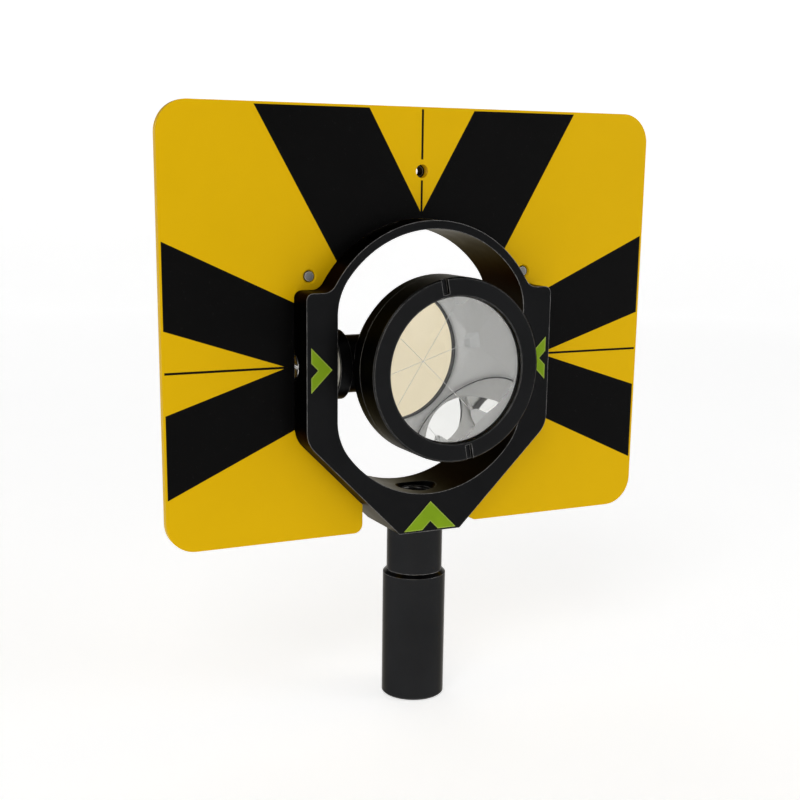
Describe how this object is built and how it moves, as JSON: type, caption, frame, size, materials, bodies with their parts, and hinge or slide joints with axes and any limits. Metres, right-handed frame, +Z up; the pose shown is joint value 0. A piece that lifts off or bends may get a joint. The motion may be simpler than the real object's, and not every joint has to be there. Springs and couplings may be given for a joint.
{
  "type": "survey prism",
  "caption": "Single survey prism in a friction-held tilting frame, with a striped target plate and an adapter threaded for a pole.",
  "frame": {"origin": "middle of the pole thread's mouth on the adapter's lower face", "axes": "+Z up along the pole, the prism looks along -Y, +X to the right as the target is faced"},
  "size_m": [0.2336, 0.0582, 0.2635],
  "materials": {
    "black_anodised": "satin black anodised",
    "yellow_paint": "satin yellow paint with black printed stripes",
    "bright_steel": "bright turned",
    "green_film": "satin film",
    "bronze": "turned",
    "nylon": "natural",
    "black_rubber": "matte",
    "prism_glass": "polished optical glass"
  },
  "bodies": {
    "root": {"frame": "black_anodised", "target_plate": "yellow_paint", "plate_screws": "bright_steel", "plate_washers": "bright_steel", "arrow_left": "green_film", "arrow_right": "green_film", "arrow_foot": "green_film", "pole_adapter": "black_anodised", "adapter_stud": "bright_steel", "pivot_bush_left": "bronze", "pivot_bush_right": "bronze", "spring_washer_left": "bright_steel", "spring_washer_right": "bright_steel"},
    "prism": {"pivot_screw_left": "bright_steel", "pivot_screw_right": "bright_steel", "friction_washer_left": "nylon", "friction_washer_right": "nylon", "prism_housing": "black_anodised", "bezel_ring": "black_anodised", "front_gasket": "black_rubber", "corner_cube": "prism_glass", "seat_ring": "black_rubber", "cap_seal": "black_rubber", "rear_cap": "black_anodised"}
  },
  "joints": [
    {"name": "prism_tilt", "type": "hinge", "parent": "root", "child": "prism", "pos_m": [0, 0, 0.1555], "axis": [-1, 0, 0], "continuous": true}
  ]
}
